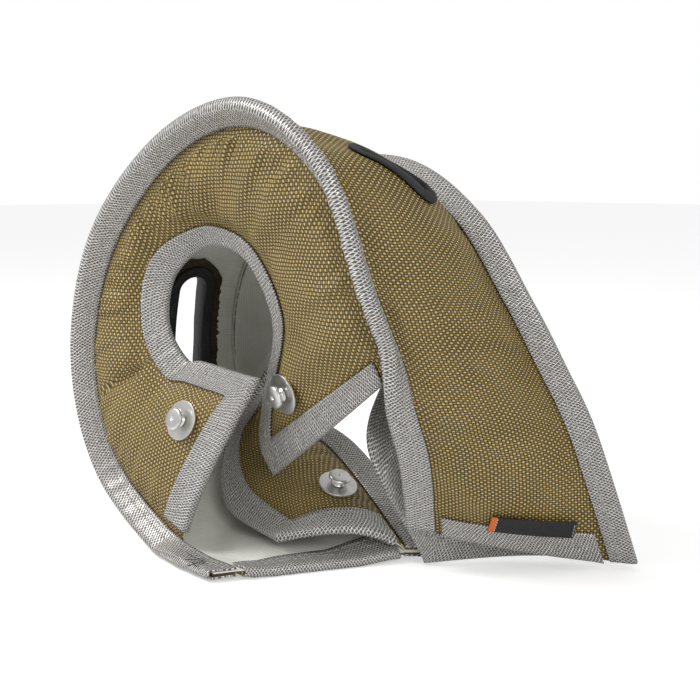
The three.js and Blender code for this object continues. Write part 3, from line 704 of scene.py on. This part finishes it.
TOP_SLOT = frame_on("band", (4.2, 0.53), (4.03, 0.69)) | dict(length=36, width=9)
SIDE_SLOT = frame_on("band", (7.75, 0.66), (7.2, 0.64)) | dict(length=60, width=18)
print("slots at", np.round(TOP_SLOT["centre"]), np.round(SIDE_SLOT["centre"]))

# %% [markdown]
# ## The panels
# Each panel is laid three times: cloth outside, batt in the middle, liner inside. The cloth carries the
# folds, the batt follows them more loosely, and the liner lies smooth, as it does in the real blanket.

# %% Cloth, batt and liner of the three panels
COLUMN_STEP = 1.8
ROWS = {"band": 60, "front": 52, "rear": 60}
LOBE_TURN = math.radians(24)
LOBE_HINGE = (-78.0, 76.0)
PADDED = (slice(8, -8, 2), slice(8, -8, 2))  # the corners that carry padding, every second one
PADDING_CLEAR = 1.2


def cloth_lengths(panel, spots):
    """Where each place lies on the flat cloth that the panel was cut from."""
    p, s, v = spots["p"], spots["s"], spots["v"]
    if panel == "band":
        return np.stack([run("middle", s), v * spots["width"]], axis=-1)
    if panel == "rear":
        return np.stack([p[..., 0], p[..., 2] + p[..., 1]], axis=-1)
    turn = LOBE_TURN * smooth(8.36, 8.46, s)
    x, z = p[..., 0] - LOBE_HINGE[0], p[..., 2] - LOBE_HINGE[1]
    return np.stack([x * np.cos(turn) + z * np.sin(turn), z * np.cos(turn) - x * np.sin(turn)], axis=-1)


def with_fins(panel, s, spots, rows=3):
    """Adds the rows that lie inside the seam's fin, at each seam that the panel has."""
    turn = 1 if panel == "band" else -1

    def fin_rows(side, first):
        foot, tip, across = fin(side, s)
        offset = across * (turn * fills(side, s) * (LINER_THICK + GAP))[:, None]
        shares = np.linspace(0.93, 0.12, rows) if first else np.linspace(0.12, 0.93, rows)
        p = foot[:, None] + (tip - foot)[:, None] * shares[None, :, None] + offset[:, None]
        n = np.repeat((across * turn)[:, None], rows, axis=1)
        flat = np.zeros((len(s), rows))
        return dict(p=p, n=n, s=flat + s[:, None], v=flat - 0.02 if first else flat + 1.02, half=flat,
                    width=flat + spots["width"][:, :1], top=flat + GAP / 2 + CLOTH_THICK,
                    under=flat + GAP / 2 + LINER_THICK)

    parts = [fin_rows("rear" if panel == "rear" else "front", True), spots]
    if panel == "band":
        parts.append(fin_rows("rear", False))
    return {key: np.concatenate([part[key] for part in parts], axis=1) for key in spots}


def columns(panel, table):
    start, end = (run(table, e) for e in PANELS[panel]["ends"])
    return place_at(table, np.linspace(start, end, round((end - start) / COLUMN_STEP) + 1))


def slots_in(panel, points, reach=0.5):
    """Which points the slots take out of a panel; only the band has slots."""
    if panel != "band":
        return None
    return in_slot(TOP_SLOT, points, reach) | in_slot(SIDE_SLOT, points, reach)


def dress(panel, title):
    table = "rear" if panel == "rear" else "front"
    s = columns(panel, table)
    v = np.linspace(0, 1, ROWS[panel])
    spots = with_fins(panel, s, spot(panel, s[:, None], v[None, :]))
    lengths = cloth_lengths(panel, spots)
    holes = slots_in(panel, spots["p"])
    outer = on(spots, spots["top"])
    cloth = lay(f"{title}_basalt_cloth", outer, on(spots, spots["top"] - CLOTH_THICK), lengths, BASALT,
                [f"{title}_outer_cloth"], holes)
    inner = on(spots, -spots["under"])
    liner = lay(f"{title}_white_liner", on(spots, LINER_THICK - spots["under"]), inner, lengths, LINER,
                [f"{title}_silica_liner"], holes)
    core = {key: values[PADDED] for key, values in spots.items()}
    loose = np.maximum(np.minimum(core["half"] * 0.8, core["top"] - CLOTH_THICK - 1.3), -0.05)
    batt = lay(f"{title}_padding", on(core, loose), on(core, -np.maximum(core["half"] - 0.1, 0.1)),
               lengths[PADDED], BATT, [f"{title}_fibre_batt"],
               slots_in(panel, core["p"], PADDING_CLEAR))


dress("band", "wrap")
dress("front", "front_panel")
dress("rear", "rear_panel")

# %% [markdown]
# ## Tapes
# A tape is folded over an edge: along the cloth side, round a soft nose and back along the liner side. Two
# rows of stitches pull it in, so it swells between them. The section is the same everywhere, and only the
# path changes: a seam's fin, a band end, or a panel's slit sides and hole in one length.

# %% Section of a folded tape
ACROSS = 9
NOSE = [62, 32, 0, -32, -62]
STITCH_ROWS = (1.9, 4.9)


def tape_wave(length, away, seed):
    """Small unevenness of a sewn tape: pulled in along the stitches, and never quite flat."""
    dips = sum(np.exp(-((away - row) / 0.75) ** 2) for row in STITCH_ROWS)
    dice = np.random.default_rng(seed)
    swell = sum(0.13 * np.sin(2 * math.pi * length / wave + dice.uniform(0, 6.3) + 0.2 * away)
                for wave in (5.3, 9.1, 16.0))
    return -0.34 * dips + swell * smooth(0, 3, away)


def folded(name, spots, length, replaced, seed):
    """spots runs along the tape, then from its inner edge to the folded edge."""
    away = np.linspace(0, TAPE_WIDTH, spots["p"].shape[1])
    wave = tape_wave(length[:, None], away[None, :], seed)
    p, n = spots["p"], spots["n"]
    edge, normal = p[:, -1], n[:, -1]
    out = edge - p[:, -3]
    out = unit(out - normal * np.sum(out * normal, axis=-1, keepdims=True))
    top, under = spots["top"][:, -1], spots["under"][:, -1]

    def section(clear, share=1.0):
        over = p + n * (spots["top"] + clear + wave * share)[..., None]
        back = p - n * (spots["under"] + clear + wave * share)[..., None]
        nose = []
        for degrees in NOSE:
            a = math.radians(degrees)
            up = (top - under) / 2 + ((top + under) / 2 + clear) * math.sin(a)
            nose.append(edge + normal * up[:, None] + out * (clear + 0.9) * math.cos(a))
        return np.concatenate([over, np.stack(nose, axis=1), back[:, ::-1]], axis=1)

    outer, inner = section(TAPE_ROOM), section(TAPE_GAP, 0.6)
    steps = np.linalg.norm(np.diff(outer.mean(axis=0), axis=0), axis=-1)
    around = np.concatenate([[0], np.cumsum(steps)])
    lengths = np.stack(np.broadcast_arrays(length[:, None], around[None, :]), axis=-1)
    tape = lay(name, outer, inner, lengths, TAPE, replaced)
    sew(f"{name}_stitches", p, n, spots["top"] + TAPE_ROOM + wave, spots["under"] + TAPE_ROOM + wave)
    return tape


# %% Stitches
STITCH_STEP = 3.5
STITCH_LENGTH = 2.5
STITCH_RADIUS = 0.26


def stitch_line(bm, path, normal, step=STITCH_STEP, length=STITCH_LENGTH, radius=STITCH_RADIUS):
    """Short sunk bars along a path, each lying on the cloth."""
    gaps = np.linalg.norm(np.diff(path, axis=0), axis=1)
    run_length = np.concatenate([[0], np.cumsum(gaps)])
    starts = np.arange(step / 2, run_length[-1] - length, step)

    def read(values, where):
        return np.array([np.interp(where, run_length, values[:, k]) for k in range(3)]).T

    first, second, up = read(path, starts), read(path, starts + length), unit(read(normal, starts + length / 2))
    for a, b, z in zip(first, second, up):
        x = unit(b - a)
        y = unit(np.cross(z, x))
        turn = Matrix(np.stack([y, np.cross(x, y), x], axis=1).tolist()).to_4x4()
        centre = Vector((((a + b) / 2 + STANDING) * MM).tolist())
        bmesh.ops.create_cone(bm, cap_ends=True, segments=5, radius1=radius * MM, radius2=radius * MM,
                              depth=length * MM, matrix=Matrix.Translation(centre) @ turn)


def sew(name, p, n, top, under):
    bm = bmesh.new()
    away = np.linspace(0, TAPE_WIDTH, p.shape[1])
    for row in STITCH_ROWS:
        k = int(np.searchsorted(away, row))
        share = (away[k] - row) / (away[k] - away[k - 1])
        for side, height in ((1, top), (-1, under)):
            lines = p + n * (side * height)[..., None]
            path = lines[:, k - 1] * share + lines[:, k] * (1 - share)
            stitch_line(bm, path, n[:, k] * side)
    finish_piece(name, bm, THREAD)


# %% Tapes of the seams
def seam_tape(name, side):
    end = run(side, LAST)
    length = np.linspace(0, end, round(end / 1.6) + 1)
    s = place_at(side, length)
    foot, tip, across = fin(side, s)
    sunk = fills(side, s)[:, None]
    shares = np.linspace(0.04, 1, ACROSS)
    p = foot[:, None] + (tip - foot)[:, None] * shares[None, :, None]
    p = p + (across * fills(side, s)[:, None] * (LINER_THICK + GAP))[:, None]
    n = np.repeat(across[:, None], ACROSS, axis=1)
    flat = np.zeros(p.shape[:2])
    under = GAP / 2 + LINER_THICK + sunk * (LINER_THICK + CLOTH_THICK + 2 * GAP)
    spots = dict(p=p, n=n, top=flat + GAP / 2 + CLOTH_THICK, under=flat + under)
    return folded(f"{name}_mesh", spots, length, [name], len(name))


seam_tape("front_seam_tape", "front")
seam_tape("rear_seam_tape", "rear")

# %% Tapes of the panels' free edges and of the band's ends
def crossed(panel, inner, edge):
    """Spots from an inner path to an edge path, both given as s and v on the panel."""
    k = np.linspace(0, 1, ACROSS)[None, :]
    s = inner[0][:, None] * (1 - k) + edge[0][:, None] * k
    v = inner[1][:, None] * (1 - k) + edge[1][:, None] * k
    return spot(panel, s, v, plain=True)


def path_length(spots):
    steps = np.linalg.norm(np.diff(spots["p"].mean(axis=1), axis=0), axis=-1)
    return np.concatenate([[0], np.cumsum(steps)])


def hem_share(panel, s):
    p = PANELS[panel]
    return TAPE_WIDTH / np.linalg.norm(p["far"](s) - p["near"](s), axis=-1)


def edge_tape(name, panel):
    (start, end), (first, last) = PANELS[panel]["ends"], HEMS[panel]
    count = 60
    low = 0.75 * hem_share(panel, np.array(float(start)))
    up = np.linspace(0, 1, count)
    round_hole = np.linspace(0, 1, 260)
    hole_inner = first + (last - first) * round_hole
    hole_edge = start + (end - start) * round_hole
    inner_v = 1 - hem_share(panel, hole_inner)
    inner_s = np.concatenate([np.full(count, first), hole_inner[1:-1], np.full(count, last)])
    inner_v = np.concatenate([low + (inner_v[0] - low) * up, inner_v[1:-1], low + (inner_v[-1] - low) * up[::-1]])
    edge_s = np.concatenate([np.full(count, start), hole_edge[1:-1], np.full(count, end)])
    edge_v = np.concatenate([low + (1 - low) * up, np.ones(len(round_hole) - 2), low + (1 - low) * up[::-1]])
    spots = crossed(panel, (inner_s, inner_v), (edge_s, edge_v))
    return folded(f"{name}_mesh", spots, path_length(spots), [name], len(name))


def end_tape(name, first, end):
    v = np.linspace(0.035, 0.965, 74)
    spots = crossed("band", (np.full_like(v, first), v), (np.full_like(v, end), v))
    return folded(f"{name}_mesh", spots, path_length(spots), [name], len(name))


edge_tape("front_panel_edge_tape", "front")
edge_tape("rear_panel_edge_tape", "rear")
end_tape("foot_end_tape", HEMS["band"][0], 0.0)
end_tape("floor_end_tape", HEMS["band"][1], float(LAST))

# %% [markdown]
# ## Slots
# Two slots let hoses and a bracket through the band. The top one has a black bound edge folded over the cut. The
# side one is bound in the same way, and a ring of coarse cloth with a frayed rim stiffens it from behind; its dark
# brown is painted shade. Both are rings of corners laid round the slot's outline, so they keep to the curved cloth.

# %% Bindings and the frayed backing
SLOT_EDGE_WIDTH = 4.0
SLOT_EDGE_THICK = 0.8
SLOT_EDGE_GAP = 0.75
PATCH_MARGIN = 8.0
PATCH_THICK = 0.8


def slot_ring(name, slot, section, look, ragged=0.0):
    """section lists reach from the cut, side of the panel, and height over that side's face."""
    outline_count = 132
    dice = np.random.default_rng(7)
    fray = dice.normal(0, 1, outline_count)
    fray = ragged * (0.6 * fray + 0.4 * np.roll(fray, 1))
    columns, lengths, around = [], [], 0.0
    for k, (reach, side, height) in enumerate(section):
        x, y = slot_outline(slot["length"], slot["width"], reach, outline_count)
        if reach >= PATCH_MARGIN:
            away = 1 + fray / np.hypot(x, y)
            x, y = x * away, y * away
        spots = locate(slot, x, y, side)
        base = spots["top"] + height if side == "top" else -spots["under"] - height
        columns.append(on(spots, base))
        if k:
            around += float(np.linalg.norm(columns[k] - columns[k - 1], axis=-1).mean())
        lengths.append(around)
    rings = np.stack(columns + columns[:1], axis=1)
    rings = np.concatenate([rings, rings[:1]], axis=0)
    away = np.concatenate([[0], np.cumsum(np.linalg.norm(np.diff(rings[:, 0], axis=0), axis=-1))])
    lengths = np.stack(np.broadcast_arrays(away[:, None], np.array(lengths + [around + 1])[None]), axis=-1)
    bm, layer, cell = new_grid(*rings.shape[:2])
    for vert in bm.verts:
        place = cell(vert)
        vert[layer] = (*lengths[place], 0.0)
        vert.co = (rings[place] + STANDING) * MM
    bmesh.ops.remove_doubles(bm, verts=bm.verts, dist=1e-7)
    return finish_piece(name, bm, look, [name])


def binding(name, slot, sheets):
    near, far, wide = SLOT_EDGE_GAP, SLOT_EDGE_GAP + SLOT_EDGE_THICK, SLOT_EDGE_WIDTH
    low = SLOT_EDGE_GAP + sheets
    section = [(wide, "top", far - 0.3), (wide - 0.5, "top", far), (1.5, "top", far + 0.15),
               (-far + 0.5, "top", far),
               (-far, "top", far - 0.6), (-far, "under", low + SLOT_EDGE_THICK - 0.6),
               (-far + 0.5, "under", low + SLOT_EDGE_THICK), (wide, "under", low + SLOT_EDGE_THICK),
               (wide, "under", low), (-near, "under", low), (-near, "top", near), (wide, "top", near)]
    return slot_ring(name, slot, section, BINDING)


binding("top_slot_edging", TOP_SLOT, 0.0)
binding("side_slot_edging", SIDE_SLOT, PATCH_THICK + TAPE_GAP)
patch_high, patch_low = TAPE_GAP, TAPE_GAP + PATCH_THICK
patch_reaches = [PATCH_MARGIN, 7.0, 5.5, 3.9, 2.0, 0.0]
# backing ring behind the side slot, in its painted-shade dark brown
slot_ring("side_slot_patch", SIDE_SLOT,
          [(reach, "under", patch_high) for reach in patch_reaches]
          + [(reach, "under", patch_low) for reach in patch_reaches[::-1]], SHADE_BROWN_BACKING, ragged=0.9)

# %% [markdown]
# ## Label tab
# A woven tab is sewn down on the right of the band. It carries nothing: the black cloth is bare, with an
# orange left end and a line of white stitches down each end.

# %% Bare tab with its stitches
LABEL_FRAME = frame_on("band", (0.33, 0.58), (0.33, 0.8))
LABEL_LENGTH = 38.0
LABEL_WIDTH = 8.0
LABEL_THICK = 0.8


def label_tab():
    x, y = np.linspace(-0.5, 0.5, 77), np.linspace(-0.5, 0.5, 21)
    px, py = np.meshgrid(x * LABEL_LENGTH, y * LABEL_WIDTH, indexing="ij")
    spots = locate(LABEL_FRAME, px, py)
    spots["top"] = spot("band", spots["s"], spots["v"], plain=True)["top"]
    rim = np.minimum(LABEL_LENGTH / 2 - np.abs(px), LABEL_WIDTH / 2 - np.abs(py))
    low = TAPE_ROOM + TAPE_GAP
    wave = 0.12 * np.sin(px * 0.7 + 1) + 0.1 * np.sin(py * 1.3 + px * 0.21)
    high = low + LABEL_THICK * (0.45 + 0.55 * smooth(0, 0.9, rim)) + wave * smooth(0, 2, rim)
    lengths = np.stack([px, py], axis=-1)
    tab = lay("label_tab_cloth", on(spots, spots["top"] + high), on(spots, spots["top"] + low), lengths, LABEL,
              ["label_tab"])
    bm = bmesh.new()
    for end in (-LABEL_LENGTH / 2 + 2.6, LABEL_LENGTH / 2 - 1.0):
        y = np.linspace(-3.7, 3.7, 30)
        line = locate(LABEL_FRAME, np.full(30, end), y)
        stitch_line(bm, on(line, spot("band", line["s"], line["v"], plain=True)["top"] + low + LABEL_THICK + 0.1),
                    line["n"], step=1.5, length=0.9, radius=0.16)
    finish_piece("label_tab_stitches", bm, WHITE_THREAD)


label_tab()

# %% [markdown]
# ## Lacing studs
# The blanket is laced shut with wire round four studs. Each is turned from steel: a domed cap on a waist,
# a wide washer under it, and a pin that is riveted over a backing washer inside. A profile is drawn once
# and spun about the frame's z.

# %% Turned studs and washers
WASHER_DIAMETER, WASHER_THICK = 18.0, 1.0
CAP_DIAMETER, CAP_THICK = 10.2, 1.8
NECK_DIAMETER, STUD_HEIGHT = 5.0, 4.8
PIN_DIAMETER = 3.0
BACKING_DIAMETER, BACKING_THICK = 14.0, 0.8
RIVET_DIAMETER, RIVET_THICK = 6.0, 0.9


def turned(name, stud, profile, slot, node, steps=56):
    """A profile of radius and height, spun round the stud's axis."""
    bm = bmesh.new()
    verts = [bm.verts.new((r, 0, z)) for r, z in profile]
    edges = [bm.edges.new(pair) for pair in zip(verts, verts[1:])]
    if profile[0][0] > 0:
        edges.append(bm.edges.new((verts[-1], verts[0])))
    bmesh.ops.spin(bm, geom=verts + edges, cent=(0, 0, 0), axis=(0, 0, 1), angle=2 * math.pi, steps=steps,
                   use_merge=True)
    bmesh.ops.remove_doubles(bm, verts=bm.verts, dist=1e-5)
    place = Matrix(np.stack([stud["x"], stud["y"], stud["z"]], axis=1).tolist()).to_4x4()
    place.translation = Vector((stud["centre"] + STANDING).tolist())
    bmesh.ops.transform(bm, matrix=Matrix.Scale(MM, 4) @ place, verts=bm.verts)
    return finish_piece(name, bm, STEEL, [node])


def rounded(corners, radius=0.25, turns=3):
    """Profile with each inner corner eased by a small arc."""
    corners = [np.array(c, float) for c in corners]
    eased = [corners[0]]
    for before, corner, after in zip(corners, corners[1:], corners[2:]):
        r = min(radius, np.linalg.norm(before - corner) / 2.2, np.linalg.norm(after - corner) / 2.2)
        a, b = corner + unit(before - corner) * r, corner + unit(after - corner) * r
        for t in np.linspace(0, 1, turns + 1):
            eased.append(a * (1 - t) ** 2 + corner * 2 * t * (1 - t) + b * t * t)
    return [tuple(p) for p in eased + [corners[-1]]]


def stud_reach(stud, panel, radius, height):
    """How far the cloth reaches along the stud's axis under a round washer, as the part measures it."""
    most = -math.inf
    for k in range(12):
        for r in (radius, radius / 2):
            a = math.pi * k / 6
            spots = locate(stud, np.array([r * math.cos(a)]), np.array([r * math.sin(a)]))
            plain = spot(panel, spots["s"], spots["v"], plain=True)
            side = plain["top"] if height == "top" else -plain["under"]
            reach = float((on(plain, side) - stud["centre"])[0] @ stud["z"])
            most = max(most, reach if height == "top" else -reach)
    return most


def stud(name, panel, place, towards):
    frame_here = frame_on(panel, place, towards)
    top = stud_reach(frame_here, panel, WASHER_DIAMETER / 2, "top") + GAP
    under = -stud_reach(frame_here, panel, BACKING_DIAMETER / 2, "under") - GAP
    post = top + WASHER_THICK + GAP
    cap = post + STUD_HEIGHT - CAP_THICK
    rivet = under - BACKING_THICK - GAP
    pin, neck, head, foot = PIN_DIAMETER / 2, NECK_DIAMETER / 2, CAP_DIAMETER / 2, RIVET_DIAMETER / 2
    body = rounded([(0, rivet - RIVET_THICK), (foot, rivet - RIVET_THICK), (foot, rivet), (pin, rivet), (pin, post),
                    (neck + 0.9, post), (neck, post + 0.9), (neck, cap), (head, cap), (head, cap + CAP_THICK * 0.6),
                    (head * 0.86, cap + CAP_THICK * 0.92), (head * 0.5, cap + CAP_THICK), (0.85, cap + CAP_THICK),
                    (0.6, cap + CAP_THICK - 0.55), (0, cap + CAP_THICK - 0.6)])
    turned(f"stud_{name}_body", frame_here, body, "stud_steel", f"stud_{name}")
    hole = pin + GAP
    for label, low, thick, wide in (("washer", top, WASHER_THICK, WASHER_DIAMETER / 2),
                                    ("backing", under - BACKING_THICK, BACKING_THICK, BACKING_DIAMETER / 2)):
        disc = rounded([(hole, low + thick / 2), (hole, low), (wide, low), (wide, low + thick),
                        (hole, low + thick), (hole, low + thick / 2)], 0.22)
        turned(f"stud_{name}_{label}_disc", frame_here, disc[:-1], "stud_steel", f"stud_{name}_{label}", 72)


stud("front_left", "front", (9.56, 0.64), (9.4, 0.64))
stud("front_right", "front", (2.6, 0.71), (2.8, 0.71))
stud("rear_left", "rear", (10.5, 0.3), (10.3, 0.3))
stud("rear_right", "rear", (0.5, 0.5), (0.7, 0.5))

# %% [markdown]
# ## Loose thread
# A few ends of dark thread hang from the seam near the left foot, as on any sewn thing. Each is a row of
# short round bars, set end to end and turned a little from one to the next.

# %% Thread ends
def thread_ends():
    dice = np.random.default_rng(3)
    bm = bmesh.new()
    s = 10.62
    foot, tip, across = (np.asarray(x)[0] for x in fin("front", np.array([s])))
    start = foot + (tip - foot) * 0.7 - across * (FIN_HALF + TAPE_ROOM + 0.3)
    for _ in range(5):
        point = start + dice.normal(0, 0.5, 3)
        heading = unit(np.array([-0.5, -0.6, -0.25]) + dice.normal(0, 0.35, 3))
        bend = dice.normal(0, 0.25, 3)
        for _ in range(5):
            ahead = unit(heading + bend)
            place = Matrix.Translation(Vector(((point + heading * 0.8 + STANDING) * MM).tolist()))
            turn = Vector(heading.tolist()).to_track_quat("Z", "Y").to_matrix().to_4x4()
            bmesh.ops.create_cone(bm, cap_ends=True, segments=6, radius1=0.16 * MM, radius2=0.15 * MM,
                                  depth=1.9 * MM, matrix=place @ turn)
            point, heading = point + heading * 1.6, ahead
            point[2] = max(point[2], 0.3)
    finish_piece("loose_thread", bm, DARK_THREAD)


thread_ends()

# %% [markdown]
# ## Floor, light and camera
# The photograph stands on a white sweep under broad soft light, so the floor and the sky are white, the
# lamps are large, and only a soft grey shadow grounds the blanket. A lamp high on the left gives the cloth
# its shape, and the sky fills the rest.

# %% White floor and sky
def white_floor():
    look = Finish("white_floor")
    rays = look.add("ShaderNodeLightPath", {}, "Is Camera Ray")
    look.shader.inputs["Base Color"].default_value = paint(0.92, 0.92, 0.92)
    look.shader.inputs["Roughness"].default_value = 0.9
    look.shader.inputs["Specular IOR Level"].default_value = 0.1
    look.shader.inputs["Emission Color"].default_value = paint(1, 1, 1)
    look.tree.links.new((rays * 0.42).socket, look.shader.inputs["Emission Strength"])
    return look.material


FLOOR_SIZE = 14
bpy.ops.mesh.primitive_plane_add(size=FLOOR_SIZE, location=(0, 0, 0))
floor = bpy.context.object
floor.name = "floor"
floor.data.materials.append(white_floor())

world = bpy.data.worlds.new("white_sky")
bpy.context.scene.world = world
world.use_nodes = True
sky = world.node_tree.nodes["Background"]
path = add_node(world.node_tree, "ShaderNodeLightPath", {}, "Is Camera Ray")
sky.inputs["Color"].default_value = paint(1, 1, 1)
world.node_tree.links.new((path * 0.45 + 0.55).socket, sky.inputs["Strength"])

# %% Lamps
def soft_lamp(name, place, size, watts):
    lamp = bpy.data.lights.new(name, "AREA")
    lamp.shape = "DISK"
    lamp.size, lamp.energy = size, watts
    stand = bpy.data.objects.new(name, lamp)
    bpy.context.scene.collection.objects.link(stand)
    stand.location = place
    stand.rotation_euler = (Vector((0, 0, 0.1)) - Vector(place)).to_track_quat("-Z", "Y").to_euler()
    return stand


soft_lamp("main_lamp", (-0.45, -0.75, 0.95), 0.45, 9.0)
soft_lamp("side_lamp", (0.95, -0.35, 0.55), 0.6, 3.0)

# %% Camera at the photograph's angle
SENSOR = 36
FOCAL_PIXELS = 1219  # focal length in pixels, solved from the photograph
PICTURE_PIXELS = 700
camera_data = bpy.data.cameras.new("photo_camera")
camera_data.sensor_width = SENSOR
camera_data.lens = FOCAL_PIXELS / PICTURE_PIXELS * SENSOR
camera_data.clip_start, camera_data.clip_end = 0.01, 20
camera = bpy.data.objects.new("photo_camera", camera_data)
bpy.context.scene.collection.objects.link(camera)
right, ahead, up = (0.68200, 0.73135, 0.0), (-0.72424, 0.67536, -0.13917), (-0.10178, 0.09492, 0.99027)
stands_at = (0.406337, -0.373402, 0.171479)
camera.matrix_world = Matrix([(right[k], up[k], -ahead[k], stands_at[k]) for k in range(3)] + [(0, 0, 0, 1)])
bpy.context.scene.camera = camera
bpy.context.scene.view_settings.view_transform = "Standard"
